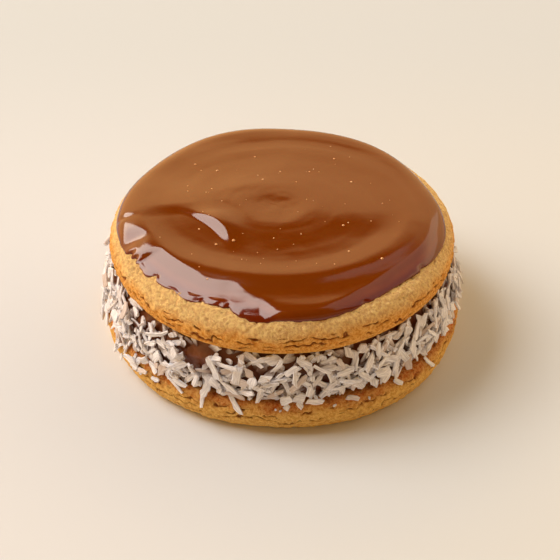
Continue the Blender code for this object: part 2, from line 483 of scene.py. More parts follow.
def dough_material(name, low_color, high_color, turn_level, crack_shade_color):
    """Baked dough that goes from one colour to another about a level, given as a share of height.
    A blotchy noise shifts the level, and the sand and the cracks are laid over it: the low grains,
    the cracks and the pits are painted darker, a painted shade in their hollows."""
    material, recipe, shader = food_material(name, Roughness=0.82, Specular_IOR_Level=0.3)
    place = recipe.place()
    blotch = recipe.noise(place, 5 * MM, 3.0, 0.6)
    level = recipe.stored("share") + (blotch - 0.5) * 0.7
    risen = recipe.spread(level, turn_level - 0.2, turn_level + 0.2)
    baked = recipe.blend(risen, low_color, high_color)
    sand = recipe.noise(place, 0.55 * MM, 4.0, 0.68)
    # low grains are painted darker: partly grain colour, partly painted shade in their hollows
    darker = recipe.blend(0.42, baked, shade(190, 92, 18))
    lighter = recipe.blend(0.36, baked, shade(255, 212, 128))
    grain_and_painted_shade = recipe.blend(recipe.spread(sand, 0.38, 0.60), darker, lighter)
    # painted shade: cracks and pits are painted in the dark crack colour
    painted_crack_shade = recipe.spread(recipe.stored("crack"), 0.05, 0.8) * 0.92
    cracked = recipe.blend(painted_crack_shade, grain_and_painted_shade, crack_shade_color)
    feed(recipe, shader, Base_Color=cracked, Normal=recipe.bumps(sand, 0.7 * MM))
    print(f"{name}: {len(recipe.tree.nodes)} nodes")
    return material


top_biscuit.data.materials.append(
    dough_material("golden_dough", shade(250, 175, 67), shade(255, 222, 150), 0.60, shade(140, 66, 12)))
# the lower biscuit's brown upper rim is partly crust and partly painted shade under the coconut
bottom_biscuit.data.materials.append(
    dough_material("browned_and_shaded_dough", shade(252, 205, 104), shade(194, 100, 30), 0.80, shade(134, 62, 12)))

# %% [markdown]
# ## The filling
#
# Dulce de leche is thick and sticky. Squeezed between the biscuits it bulges, and under the upper
# biscuit's edge it stays a little back, which leaves a dark gap there. The coconut covers most of
# it. Its side is one function of angle and height, because the flakes need it too, to know where to
# stick.

# %% The filling
COCONUT_REACH = outline("coconut_band", columns_of(SECTORS)).mean()
SIDE_INSET = 2.4 * MM               # how far the filling's widest level is inside the coconut's reach


def filling_radius(angle, height):
    """Radius of the filling's side: the coconut's outline less an inset, drawn in towards the upper
    biscuit, more so at the front left, and a little at the foot."""
    share = (height - BOTTOM_HIGH) / (TOP_LOW - BOTTOM_HIGH)
    drawn_in = (1.5 + 0.8 * np.cos(apart(angle, -112))) * ramp(share, 0.6, 1.0)
    footing = 0.5 * (1 - ramp(share, 0.0, 0.35))
    return COCONUT_REACH - SIDE_INSET - (drawn_in + footing) * MM


def filling_piece(columns=420, side_rows=44):
    """Filling from biscuit to biscuit: its side's radius at each angle and height, moved out by two
    sizes of noise, the ripples that a knife left where it smoothed the side."""
    angle = columns_of(columns)
    clearance = 0.05 * MM
    height = np.linspace(TOP_LOW - clearance, BOTTOM_HIGH + clearance, side_rows)[:, None]
    height = np.repeat(height, columns, axis=1)
    radius = filling_radius(angle[None, :], height)
    grid = np.stack([radius * np.cos(angle), radius * np.sin(angle), height], axis=-1)
    ripple = 0.25 * noise(grid, (4 * MM, 4 * MM, 2 * MM), 81) + 0.12 * noise(grid, 1.3 * MM, 82)
    grid = grid + outward(grid) * (ripple * MM)[..., None]
    grid[0, :, 2] = TOP_LOW - clearance
    grid[-1, :, 2] = BOTTOM_HIGH + clearance
    return turned_piece("dulce_filling", grid)


dulce_filling = filling_piece()

# %% Filling material
material, recipe, shader = food_material("dulce_de_leche", Roughness=0.30, Subsurface_Weight=0.15,
                                         Subsurface_Scale=0.6 * MM)
place = recipe.place()
mottled = recipe.blend(recipe.noise(place, 2.5 * MM), shade(78, 34, 12), shade(132, 68, 28))
feed(recipe, shader, Base_Color=mottled, Normal=recipe.bumps(recipe.noise(place, 0.8 * MM), 0.12 * MM))
dulce_filling.data.materials.append(material)
print("filling's radius under the upper biscuit:",
      (filling_radius(0.0, np.array([TOP_LOW]))[0] / MM).round(1), "mm")

# %% [markdown]
# ## Coconut flakes
#
# Desiccated coconut is shaved and then broken: long slivers, broad chips and small bits, flat, a
# third of a millimetre thick, with torn edges and a slight curl. Every flake is a flattened tube of
# a few cross-sections. All flakes of a kind are worked out together: one array holds their corners,
# with random numbers for each flake's length, width, curl and twist.

# %% The shape of a flake
ACROSS = np.array([1.0, 0.8, -0.8, -1.0, -0.8, 0.8])     # a section's corners across the flake
THROUGH = np.array([0.0, 1.0, 1.0, 0.0, -1.0, -1.0])     # and through its thickness


def flakes(count, stations, length, width, thickness, rng):
    """Corners (count, stations * 6, 3) of flakes that lie along X and face +Z. With t from -1 to 1
    along a flake, its half width is 0.70 + 0.30 sqrt(1 - t^4) of the widest, torn at each station.
    Its middle line curls up and sways aside as t^2, it twists as t, and its ends slant as t^3."""
    along = np.linspace(-1, 1, stations)
    half_length = 0.5 * length * rng.uniform(0.55, 1.2, (count, 1))
    half_width = 0.5 * width * rng.uniform(0.6, 1.25, (count, 1))
    taper = 0.70 + 0.30 * np.sqrt(1 - np.abs(along) ** 4)
    torn = rng.uniform(0.78, 1.12, (count, stations))
    wide = half_width * taper * torn
    thick = 0.5 * thickness * rng.uniform(0.7, 1.3, (count, 1)) * (0.6 + 0.4 * taper)
    curl = half_length * rng.normal(0, 0.08, (count, 1)) * along ** 2
    sway = half_length * rng.normal(0, 0.06, (count, 1)) * along ** 2
    sway = sway + half_width * rng.uniform(-0.12, 0.12, (count, stations))
    twist = rng.normal(0, 0.22, (count, 1)) * along
    slant = half_width * rng.normal(0, 0.35, (count, 1))

    across = wide[..., None] * ACROSS
    through = thick[..., None] * THROUGH
    x = (half_length * along)[..., None] + slant[..., None] * ACROSS * np.abs(along)[:, None] ** 3
    y = sway[..., None] + across * np.cos(twist)[..., None] - through * np.sin(twist)[..., None]
    z = curl[..., None] + across * np.sin(twist)[..., None] + through * np.cos(twist)[..., None]
    return np.stack([x, y, z], axis=-1).reshape(count, -1, 3)


def flake_faces(count, stations):
    """Faces of that many tubes: bands of quads between sections, and a six-sided cap at each end."""
    sides = len(ACROSS)
    here = np.arange(stations * sides).reshape(stations, sides)
    beside = np.roll(here, -1, axis=1)
    bands = np.stack([here[:-1], here[1:], beside[1:], beside[:-1]], axis=-1).reshape(-1, 4)
    caps = np.stack([here[0], here[-1][::-1]])
    first = (np.arange(count) * stations * sides)[:, None, None]
    return [(bands + first).reshape(-1, 4), (caps + first).reshape(-1, sides)]


# %% Laying a flake down


def unit(vectors):
    """Vectors scaled to length 1."""
    return vectors / np.linalg.norm(vectors, axis=-1, keepdims=True)


def laid(shapes, centre, facing, along):
    """Flakes turned so that each faces one way and points another, and moved to its centre: a
    corner's three numbers are steps along the flake's own length, width and facing."""
    facing = unit(facing)
    aside = unit(np.cross(facing, along))
    axes = np.stack([np.cross(aside, facing), aside, facing], axis=1)
    return centre[:, None, :] + np.einsum("nkj,nji->nki", shapes, axes)


print("one flat flake has", len(ACROSS) * 6, "corners and", len(flake_faces(1, 6)[0]), "side faces")

# %% [markdown]
# ## Rolling the side in coconut
#
# The flakes stick where they touch, face mostly outwards and lie in any direction, some on top of
# others. They are spread evenly over the side, in layers: each layer stands further out than the
# last and is tilted more. A flake that would cut into a biscuit slides up or down until it is clear.
# One that still cuts, or that reaches past the coconut's limit, is left out.

# %% Keeping clear of the biscuits
FLAKE_LIMIT = COCONUT_REACH + 0.9 * MM      # the longest flakes stand out past the coconut's outline


def bottom_radius(angle, height):
    """Radius of the lower biscuit's side at a height: its outline less the inset of its two quarter
    ellipses, 1 - sqrt(1 - t^2) of the shoulder above its widest level and of the tuck below it."""
    rise = np.clip((height - BOTTOM_WIDEST) / (BOTTOM_HIGH - BOTTOM_WIDEST), 0, 1)
    fall = np.clip((BOTTOM_WIDEST - height) / BOTTOM_WIDEST, 0, 1)
    inset = BOTTOM_SHOULDER * (1 - np.sqrt(1 - rise ** 2)) + BOTTOM_TUCK * (1 - np.sqrt(1 - fall ** 2))
    return bottom_outline(angle) - inset


def slid(corners, slack=0.15 * MM):
    """Flakes slid down until they clear the upper biscuit and up until they clear the lower one, and
    True for each that then stays outside both and inside the coconut's limit."""
    reach = np.hypot(corners[..., 0], corners[..., 1])
    angle = np.arctan2(corners[..., 1], corners[..., 0])
    ceiling = np.where(reach < outline("biscuit_top", angle) + slack, TOP_LOW - slack, 1.0)
    down = np.maximum(corners[..., 2] - ceiling, 0).max(axis=1)
    low = np.where(reach < bottom_outline(angle) - 0.6 * MM, BOTTOM_HIGH, 0.0)
    up = np.maximum(low - corners[..., 2], 0).max(axis=1)
    corners = corners + np.stack([0 * up, 0 * up, np.minimum(up, 2 * MM) - down], axis=-1)[:, None, :]
    inside = reach < bottom_radius(angle, corners[..., 2]) - 2 * slack
    bad = inside & (corners[..., 2] < BOTTOM_HIGH - slack)
    return corners, ~(bad | (reach > FLAKE_LIMIT)).any(axis=1)


# %% Flakes stuck round the filling
TURN_BY, CLIMB_BY = 0.7548777, 0.5698403    # two steps of the sequence that fills a square evenly
UPWARD_LEAN = 0.28                          # gravity turns loose flakes a little face up


def rolled(count, stations, length, width, thickness, stand_off, tilt, rng):
    """Flakes stuck round the filling, stood off from its side by up to a distance and tilted by a
    random angle. Each centre is a fixed fraction of a turn and of the height on from the last, which
    spreads them evenly. On the left they hang down over the lower biscuit, and few stick to an open
    patch at the front left."""
    angle = TURN * ((np.arange(count) * TURN_BY + rng.uniform()) % 1.0 - 0.5)
    share = (np.arange(count) * CLIMB_BY + rng.uniform()) % 1.0
    # how far the flakes hang over the lower biscuit, and how far they stay below the upper one
    hang = 1.9 * MM * ramp(np.cos(apart(angle, -172)), 0.5, 0.95)
    below = (0.9 - 0.4 * bump(apart(angle, -92), 0.0, math.radians(14))) * MM
    height = BOTTOM_HIGH + 0.2 * MM - hang + share * (TOP_LOW - BOTTOM_HIGH - below + hang)
    inner = np.where(height < BOTTOM_HIGH, bottom_radius(angle, height), filling_radius(angle, height))
    radius = inner + stand_off * rng.uniform(0.1, 1.0, count)
    centre = np.stack([radius * np.cos(angle), radius * np.sin(angle), height], axis=-1)
    out = np.stack([np.cos(angle), np.sin(angle), 0 * angle], axis=-1)
    around = np.stack([-np.sin(angle), np.cos(angle), 0 * angle], axis=-1)
    up = np.array([0.0, 0.0, 1.0])
    lean = rng.normal(0, tilt, (count, 2))
    facing = out + around * lean[:, :1] + up * (lean[:, 1:] + UPWARD_LEAN)
    heading = rng.uniform(0, TURN, count)[:, None]
    along = around * np.cos(heading) + up * np.sin(heading)
    corners = laid(flakes(count, stations, length, width, thickness, rng), centre, facing, along)
    corners, kept = slid(corners)
    bare = bump(apart(angle, -116), 0.0, math.radians(7)) * ramp(share, 0.35, 0.6)
    return corners[kept & (rng.uniform(0, 1, count) > 0.85 * bare)]


# %% Slivers, chips and bits


def flake_piece(name, stations, groups, rng):
    """One piece from groups of laid flakes. It stores each flake's tint, a random number; its grain,
    coordinates in which the flake is squeezed along its length; and how far it is out of the painted
    shade, from 0 against the filling, where flakes are painted dark as shade between them, to 1 a
    millimetre out or down over the lower biscuit."""
    corners = np.concatenate(groups)
    count = len(corners)
    tint = np.repeat(rng.uniform(0, 1, count), corners.shape[1])
    centred = corners - corners.mean(axis=1, keepdims=True)
    spine = unit(corners[:, -6:].mean(axis=1) - corners[:, :6].mean(axis=1))
    forth = (centred * spine[:, None, :]).sum(axis=-1, keepdims=True)
    grain = centred + rng.uniform(0, 1, (count, 1, 3)) - 0.85 * forth * spine[:, None, :]
    x, y, z = np.moveaxis(corners, -1, 0)
    angle = np.arctan2(y, x)
    outside = np.hypot(x, y) - filling_radius(angle, np.maximum(z, BOTTOM_HIGH))
    # painted shade: 0 near the filling, where the flakes are painted dark brown
    out_of_painted_shade = np.maximum(ramp(outside, 0.2 * MM, 1.0 * MM), ramp(z, BOTTOM_HIGH, BOTTOM_HIGH - 1 * MM))
    extra = {"tint": tint, "grain": grain.reshape(-1, 3), "out_of_painted_shade": out_of_painted_shade.ravel()}
    return new_piece(name, corners.reshape(-1, 3), flake_faces(count, stations), extra, sharp=38)


rng = np.random.default_rng(20)
# count, stations, then length, width, thickness and how far they stand off, then how much they tilt
slivers = [rolled(420, 6, 3.0 * MM, 0.90 * MM, 0.32 * MM, 0.8 * MM, 0.10, rng),
           rolled(430, 6, 3.5 * MM, 1.05 * MM, 0.34 * MM, 1.9 * MM, 0.24, rng),
           rolled(110, 6, 4.0 * MM, 1.15 * MM, 0.36 * MM, 2.5 * MM, 0.42, rng)]
chips = [rolled(150, 6, 2.7 * MM, 1.50 * MM, 0.34 * MM, 0.9 * MM, 0.12, rng),
         rolled(250, 6, 2.9 * MM, 1.60 * MM, 0.36 * MM, 2.0 * MM, 0.28, rng)]
bits = [rolled(420, 4, 1.2 * MM, 0.80 * MM, 0.32 * MM, 1.8 * MM, 0.40, rng)]
print("flakes kept:", [len(group) for group in slivers + chips + bits])

# %% [markdown]
# Some flakes came off the band and lie on the lower biscuit, each flat against its rounded side, and
# a few crumbs lie with them. These are placed one by one: direction, height, length and lean.

# %% Stray flakes
STRAYS = (  # degrees round, height, length and width in mm, lean from upright in degrees
    (-104.0, 6.4, 5.6, 1.1, -32),
    (-114.5, 5.9, 3.0, 0.9, -4),
    (-139.0, 4.9, 1.6, 1.0, 10),
    (-88.5, 6.6, 1.9, 1.1, 15),
    (-84.5, 6.8, 1.6, 1.2, -30),
    (-68.0, 6.8, 3.2, 1.1, -62),
    (-52.0, 6.6, 3.4, 1.2, -40),
    (-38.0, 6.2, 3.0, 0.9, -24),
    (-91.8, 6.2, 0.6, 0.5, 30),
    (-90.4, 6.0, 0.5, 0.5, 0),
    (-74.0, 6.3, 0.7, 0.5, 70),
    (-63.0, 6.1, 0.6, 0.5, 10),
    (35.0, 6.0, 3.0, 0.9, -30),
    (118.0, 6.2, 3.4, 1.0, 40),
    (160.0, 5.4, 2.4, 0.8, -15),
)


def stray(angle, height, length, width, lean, rng):
    """One flake flat against the lower biscuit's side, which leans in towards its shoulder."""
    radius = bottom_radius(np.array([angle]), np.array([height]))[0] + 0.22 * MM
    centre = np.array([[radius * math.cos(angle), radius * math.sin(angle), height]])
    rise = max(0.0, height - BOTTOM_WIDEST) / (BOTTOM_HIGH - BOTTOM_WIDEST)
    out = np.array([[math.cos(angle), math.sin(angle), 0.9 * rise]])
    around = np.array([[-math.sin(angle), math.cos(angle), 0.0]])
    along = around * math.sin(lean) + np.array([[0.0, 0.0, 1.0]]) * math.cos(lean)
    return laid(flakes(1, 6, length, width, 0.32 * MM, rng), centre, out, along)


for degrees, height, length, width, lean in STRAYS:
    slivers.append(stray(math.radians(degrees), height * MM, length * MM, width * MM,
                         math.radians(lean), rng))

coconut_slivers = flake_piece("coconut_slivers", 6, slivers, rng)
coconut_chips = flake_piece("coconut_chips", 6, chips, rng)
coconut_bits = flake_piece("coconut_bits", 4, bits, rng)

# %% [markdown]
# Dry coconut is an off-white with a dull sheen. Its fibres run along the flake, so the grain is a
# noise in the flake's own coordinates, squeezed along its length. Each flake has its own tint: most
# are pale and a few are toasted. Where a flake lies against the filling, it is painted dark brown,
# a painted shade for the shadow deep between the flakes.

# %% Coconut material
material, recipe, shader = food_material("coconut", Roughness=0.62, Specular_IOR_Level=0.35)
fibres = recipe.noise(recipe.stored("grain", "Vector"), 0.22 * MM, 2.0)
pale = recipe.blend(recipe.spread(fibres, 0.3, 0.7), shade(220, 219, 226), shade(253, 252, 255))
toasted = recipe.spread(recipe.stored("tint"), 0.80, 1.0) * 0.55
toast_and_painted_shade = recipe.blend(toasted, pale, shade(186, 148, 112))
# painted shade: dark brown on flakes close to the filling
toast_and_painted_shade = recipe.blend(recipe.stored("out_of_painted_shade"), shade(104, 62, 40), toast_and_painted_shade)
feed(recipe, shader, Base_Color=toast_and_painted_shade, Normal=recipe.bumps(fibres, 0.14 * MM))
for piece in (coconut_slivers, coconut_chips, coconut_bits):
    piece.data.materials.append(material)
    print(piece.name, "is made of", material.name)

# %% [markdown]
# ## The caramel
#
# The caramel was poured and spread with the back of a spoon. It is a disc whose rim lies over the
# biscuit's shoulder. Its edge is lobed, with small notches where it caught on the sandy dough, and a
# noise round the outline makes the rest of it ragged.

# %% The caramel's edge
LOBES = (  # broad lobes and dents of the edge: degrees round, depth inwards in mm, width in degrees
    (-111.5, 1.0, 6.0), (-98.0, -0.40, 5.0), (-124.5, -0.30, 3.5),
)
NOTCHES = (  # small ones: degrees round, depth in mm, width in degrees
    (-157.6, 0.8, 1.0), (-154.2, 0.7, 0.9), (-151.0, 0.4, 0.8), (-141.3, 0.9, 1.4), (-145.3, -0.3, 1.6),
    (-131.0, 0.3, 1.4), (-119.0, 0.5, 0.9), (-109.0, 0.7, 1.2), (-60.0, 0.3, 1.6), (-31.0, 0.35, 1.6),
)


def caramel_outline(angle):
    """Radius of the caramel's edge: the solid's outline with its broad lobes."""
    radius = outline("caramel_top", angle)
    for degrees, depth, width in LOBES:
        radius = radius - depth * MM * bump(apart(angle, degrees), 0.0, math.radians(width))
    return radius


def edge_dents(angle):
    """How far in metres the caramel's very edge is drawn in: the notches and a little noise."""
    ring = np.stack([20 * MM * np.cos(angle), 20 * MM * np.sin(angle), 0 * angle], axis=-1)
    ragged = 0.3 + 0.7 * ramp(np.cos(apart(angle, -130)), 0.5, 0.9)
    dent = ragged * (0.12 * noise(ring, 2.2 * MM, 5) + 0.10 * noise(ring, 0.7 * MM, 6))
    for degrees, depth, width in NOTCHES:
        dent = dent + depth * bump(apart(angle, degrees), 0.0, math.radians(width))
    return dent * MM


print("edge drawn in by up to", (edge_dents(columns_of(720)).max() / MM).round(2), "mm")

# %% [markdown]
# On most of the rim the caramel stands up round and steep, as a thick liquid does. At the front left
# it ran out into a broad, plain slope, which is what mirrors the light as one long band. Two numbers
# for each direction say this: how wide the rim is, and how much of a slope it is.

# %% The caramel's rim


def rim_width(angle):
    """Width in metres over which the caramel falls to its edge: widest at the front left."""
    wide = ramp(np.cos(apart(angle, -138)), math.cos(math.radians(62)), math.cos(math.radians(30)))
    right = ramp(np.cos(apart(angle, -35)), math.cos(math.radians(50)), math.cos(math.radians(20)))
    return (3.0 + 2.7 * wide + 0.1 * right) * MM


def feathering(angle):
    """1 where the rim is a plain slope and 0 where it is rounded. It is a slope at the front left and
    mostly so at the front right. Two short stretches on the left are partly sloped."""
    left = ramp(apart(angle, -154.5), 0.0, math.radians(4))
    left = left * (1 - ramp(apart(angle, -98), 0.0, math.radians(8)))
    blobs = 0.8 * bump(apart(angle, -163.5), 0.0, math.radians(4.6))
    blobs = blobs + 0.2 * bump(apart(angle, -177), 0.0, math.radians(1.5))
    right = ramp(np.cos(apart(angle, -35)), math.cos(math.radians(42)), math.cos(math.radians(24)))
    return np.maximum(np.maximum(left, blobs), 0.75 * right)


wide = rim_width(columns_of(720)) / MM
print("rim from", wide.min().round(1), "to", wide.max().round(1), "mm wide")

# %% [markdown]
# The spoon left a low dome in the middle with a hollow, a shallow valley round it and a bead outside
# the valley. Those are bell curves and ramps of the distance from the swirl's centre. It also left
# one steep fold on the left and some broad steps, which are ramps across a line, faded out along it.
# All of them are simply added up. Fine streaks follow the spoon round in a loose spiral.

# %% The spoon's marks
SWIRL_CENTRE = (-1.0, 1.5)           # mm
SWIRL_LENGTH = 1.22                  # how much longer the swirl is from left to right


def step_across(x, y, origin, degrees, bow):
    """Distances in mm along and across a gently bowed line through a point in some direction: the
    offset from the point, turned by the direction, with bow times the square of the length added."""
    turn = math.radians(degrees)
    along = (x - origin[0]) * math.cos(turn) + (y - origin[1]) * math.sin(turn)
    across = (y - origin[1]) * math.cos(turn) - (x - origin[0]) * math.sin(turn)
    return along, across + bow * along ** 2


def swirl(x, y):
    """Height in mm that the spoon left above the caramel's level, at points given in metres. Dome,
    outer fall, groove, ring and lip go by the distance from the swirl's centre, measured as an oval,
    and the hollow is a bell curve both ways. Fold, terrace, crescent and side step are each a ramp
    up and a slower ramp down across a line, times a bell curve along it."""
    x, y = x / MM, y / MM
    dx, dy = x - SWIRL_CENTRE[0], y - SWIRL_CENTRE[1]
    oval = np.hypot(dx / SWIRL_LENGTH, dy)
    front = ramp(-dy / np.maximum(oval, 1e-6), -0.5, 0.4)
    dome = 0.55 * (1 - ramp(oval, 4.0, 17.5))
    outer = -0.42 * ramp(oval, 20.5, 28.0) * front
    back_right = ramp(np.cos(np.arctan2(dy, dx) - math.radians(58)), 0.3, 0.8)
    groove = -0.15 * bump(oval, 22.3, 2.0) * back_right
    ring = 0.30 * bump(oval, 21.3, 2.6) * (0.12 + 0.88 * front)
    hollow = -0.10 * bump(dx, -0.8, 3.4) * bump(dy, 0.8, 1.9)
    lip = 0.07 * bump(oval, 5.5, 1.8) * front
    along, across = step_across(x, y, (-12.9, -4.6), -49.0, 0.035)
    fold = 0.80 * ramp(across, -1.15, 1.15) * (1 - ramp(across, 0.9, 6.5)) * bump(along, 0.3, 4.9)
    along, across = step_across(x, y, (-18.0, 1.0), 8.0, 0.0)
    terrace = 0.32 * ramp(across, -12.0, -1.0) + 0.26 * ramp(across, -2.6, 1.4)
    terrace = terrace * (1 - ramp(across, 1.0, 13.0)) * bump(along, 0.0, 8.5)
    along, across = step_across(x, y, (-7.0, 7.0), 14.0, 0.02)
    crescent = 0.10 * ramp(across, -1.6, 1.0) * (1 - ramp(across, 0.6, 6.0)) * bump(along, 0.0, 5.5)
    along, across = step_across(x, y, (15.0, -3.0), 12.0, 0.0)
    side = 0.34 * ramp(across, -5.5, 2.5) * (1 - ramp(across, 1.5, 14.0)) * bump(along, 0.0, 8.0)
    return dome + outer + groove + ring + hollow + lip + fold + terrace + crescent + side


def streaks(x, y):
    """Height from about -1 to 1 of the fine lines that the spoon drew: noise that is long round the
    swirl's centre, short across, and wound into a loose spiral."""
    dx, dy = x - SWIRL_CENTRE[0] * MM, y - SWIRL_CENTRE[1] * MM
    oval = np.hypot(dx / SWIRL_LENGTH, dy)
    wound = np.arctan2(dy, dx) + oval / (11 * MM)
    ring = np.stack([9 * MM * np.cos(wound), 9 * MM * np.sin(wound), oval], axis=-1)
    coarse = noise(ring, (6 * MM, 6 * MM, 2.1 * MM), 15)
    return coarse + 0.5 * noise(ring, (4 * MM, 4 * MM, 0.9 * MM), 16)


print("dome in the middle:", swirl(SWIRL_CENTRE[0] * MM, SWIRL_CENTRE[1] * MM).round(2), "mm high")

# %% [markdown]
# The rows of the caramel's grid run from the middle to the rim's inner line and then down to the
# biscuit. The rim is worked out both ways, rounded and as a plain slope, and the two heights are
# mixed. Two thick rolls right at the edge are added on top.

# %% The caramel's surface
LEVEL = 1.50                        # mm from the biscuit's face to the caramel's plain level
EDGE = 0.20 * MM                    # thickness at the very edge
STREAK = 0.022                      # height of the streaks in mm
SUNK = 0.3 * MM                     # how far the hidden underside lies inside the biscuit
ROLLS = ((-123.2, 1.9), (-114.3, 2.3))      # thick rolls at the edge: degrees round, width in degrees
ROLL = 0.14                         # height and width of a roll as shares of the rim's


def biscuit_face(angle, reach):
    """Height of the upper biscuit's face: level, then down the quarter ellipse of its shoulder, cut
    off shortly before the ellipse would be vertical."""
    past = reach - (outline("biscuit_top", angle) - SHOULDER)
    fallen = 1 - np.sqrt(1 - np.clip(past / SHOULDER, 0, 0.97) ** 2)
    return TOP_HIGH - (TOP_HIGH - TOP_LOW - TOP_WIDEST) * fallen


def caramel_height(x, y):
    """Height of the spread caramel before its rim falls off: its level, the swirl, two sizes of soft
    noise and the streaks, added up."""
    flat = np.stack([x, y, 0 * x], axis=-1)
    uneven = 0.05 * noise(flat, 7 * MM, 11) + 0.012 * noise(flat, 2.5 * MM, 12)
    return TOP_HIGH + (LEVEL + swirl(x, y) + uneven + STREAK * streaks(x, y)) * MM


def caramel_piece(columns=640, rim_rows=56, top_rows=84):
    """Caramel on the biscuit. With u from 1 at the rim's inner line to 0 at the edge, the share of
    its full height that the rim has is (1 - (1 - u)^n)^m. n = 2 and m = 1/2 make a quarter circle,
    and with feathering they go to n = 1.45 and m = 1, nearly a plain slope. A rounded rim takes
    that share of the caramel's thickness there, a sloped one of its rise from the edge."""
    angle = columns_of(columns)
    edge = caramel_outline(angle)
    feather = feathering(angle)
    width = rim_width(angle)
    u = 1 - np.linspace(0, 1, rim_rows)[:, None] ** 0.75
    inwards = np.linspace(0.01, 1, top_rows, endpoint=False)[:, None]
    dented = edge - width * u - edge_dents(angle) * (1 - ramp(u, 0.0, 0.32))
    reach = np.concatenate([inwards * (edge - width), dented])
    x, y = reach * np.cos(angle), reach * np.sin(angle)
    share = (1 - (1 - u) ** (2 - 0.55 * feather)) ** (0.5 + 0.5 * feather)
    for degrees, spread in ROLLS:
        rolled_edge = ROLL * np.sqrt(np.clip(1 - (1 - u / ROLL) ** 2, 0, 1))
        share = share + rolled_edge * bump(apart(angle, degrees), 0.0, math.radians(spread))
    share = np.concatenate([np.ones((top_rows, columns)), share])
    under = biscuit_face(angle, reach)
    top = caramel_height(x, y)
    edge_height = biscuit_face(angle, edge) + EDGE
    rounded = under + EDGE + share * np.maximum(top - under - EDGE, 0)
    straight = edge_height + share * (top - edge_height)
    height = np.maximum(rounded + feather * (straight - rounded), under + EDGE)
    sunk = np.stack([x[-1], y[-1], under[-1] - SUNK], axis=-1)[None]
    closing = sunk * np.array([0.9, 0.9, 1.0])
    closing[..., 2] = TOP_HIGH - SUNK
    grid = np.concatenate([np.stack([x, y, height], axis=-1), sunk, closing])
    depth = np.concatenate([height - under, np.zeros((2, columns))]) / MM
    return turned_piece("caramel_spread", grid, {"depth": depth})


caramel_spread = caramel_piece()

# %% [markdown]
# Caramel is darker where it is thick, because light dies in it, and lighter where it is thinner. The
# thin rim is painted a dark red amber, a painted shade for the rim as it falls away from the light.
# The depth was stored on the mesh for this. The surface is wet and smooth.

# %% Caramel material
material, recipe, shader = food_material("caramel", Roughness=0.10, IOR=1.50, Subsurface_Weight=0.10,
                                         Subsurface_Scale=1.2 * MM)
place = recipe.place()
veins = recipe.noise(place, 6 * MM, 3.0, 0.55)
depth = recipe.stored("depth") + (veins - 0.5) * 0.5
body = recipe.blend(recipe.spread(depth, 0.4, 1.0), shade(152, 75, 6), shade(116, 51, 1))
# painted shade: the thin rim all round is painted a dark red amber
body_and_painted_rim_shade = recipe.blend(recipe.spread(recipe.stored("depth"), 0.3, 1.15), shade(108, 34, 2), body)
feed(recipe, shader, Base_Color=body_and_painted_rim_shade, Normal=recipe.bumps(recipe.noise(place, 1.6 * MM), 0.010 * MM))
caramel_spread.data.materials.append(material)
print(material.name, "has", len(recipe.tree.nodes), "nodes")

# %% [markdown]
# Stirring leaves air in caramel. The bubbles that reach the surface are about a quarter of a
# millimetre across and show as pale specks; their pale colour is a painted highlight. Each is a
# small dome of a few faces, laid on the caramel's own height.

# %% Bubbles in the caramel
BUBBLE_FIELD = 24.5 * MM            # radius of the part of the caramel that has bubbles
BUBBLE_SIZE = 0.12 * MM             # radius of the middling bubble


def bubble_piece(count=70, rings=3, sides=8):
    """Small domes scattered evenly over a disc, the root of a random number giving the distance out:
    each is three rings of a flattened ball, from just under the caramel to near its top."""
    rng = np.random.default_rng(8)
    reach = BUBBLE_FIELD * np.sqrt(rng.uniform(0, 1, count))
    angle = rng.uniform(0, TURN, count)
    size = BUBBLE_SIZE * rng.lognormal(0, 0.42, count)
    x, y = reach * np.cos(angle), reach * np.sin(angle)
    z = caramel_height(x, y)
    up = np.linspace(-0.3, 1.1, rings)
    turn = np.linspace(0, TURN, sides, endpoint=False)
    ring_x = np.cos(up)[:, None] * np.cos(turn)
    ring_y = np.cos(up)[:, None] * np.sin(turn)
    ring_z = np.repeat(0.6 * np.sin(up)[:, None], sides, axis=1)
    dome = np.stack([ring_x, ring_y, ring_z], axis=-1).reshape(-1, 3)
    corners = np.stack([x, y, z], axis=-1)[:, None, :] + size[:, None, None] * dome
    here = np.arange(rings * sides).reshape(rings, sides)
    beside = np.roll(here, -1, axis=1)
    bands = np.stack([here[:-1], beside[:-1], beside[1:], here[1:]], axis=-1).reshape(-1, 4)
    caps = np.stack([here[0][::-1], here[-1]])
    first = (np.arange(count) * rings * sides)[:, None, None]
    faces = [(bands + first).reshape(-1, 4), (caps + first).reshape(-1, sides)]
    return new_piece("caramel_bubbles", corners.reshape(-1, 3), faces)


caramel_bubbles = bubble_piece()
material, recipe, shader = food_material("bubble", Roughness=0.25)
# painted highlight: the bubbles are painted pale
painted_bubble_highlight = recipe.blend(recipe.noise(recipe.place(), 3 * MM), shade(216, 140, 76), shade(250, 204, 150))
feed(recipe, shader, Base_Color=painted_bubble_highlight)
caramel_bubbles.data.materials.append(material)

# %% [markdown]
# ## Joining the pieces to the frame
#
# Each new piece moves with the one body, and the solids that it stands for are hidden. The material
# slot of the record that it takes its finish from, and the solid it stands for, are only printed.

# %% Ride and replace
for piece, slot_name, nodes in (
    (top_biscuit, "baked_biscuit", ["biscuit_top"]),
    (bottom_biscuit, "baked_biscuit", ["biscuit_bottom"]),
    (dulce_filling, "dulce_de_leche", ["filling"]),
    (coconut_slivers, "coconut", ["coconut_band"]),
    (coconut_chips, "coconut", []),
    (coconut_bits, "coconut", []),
    (caramel_spread, "caramel", ["caramel_top"]),
    (caramel_bubbles, "caramel", []),
):
    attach(piece, "root")
    if nodes:
        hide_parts(*nodes)
    print(f"{piece.name} is {slot_name} and stands for {nodes}")
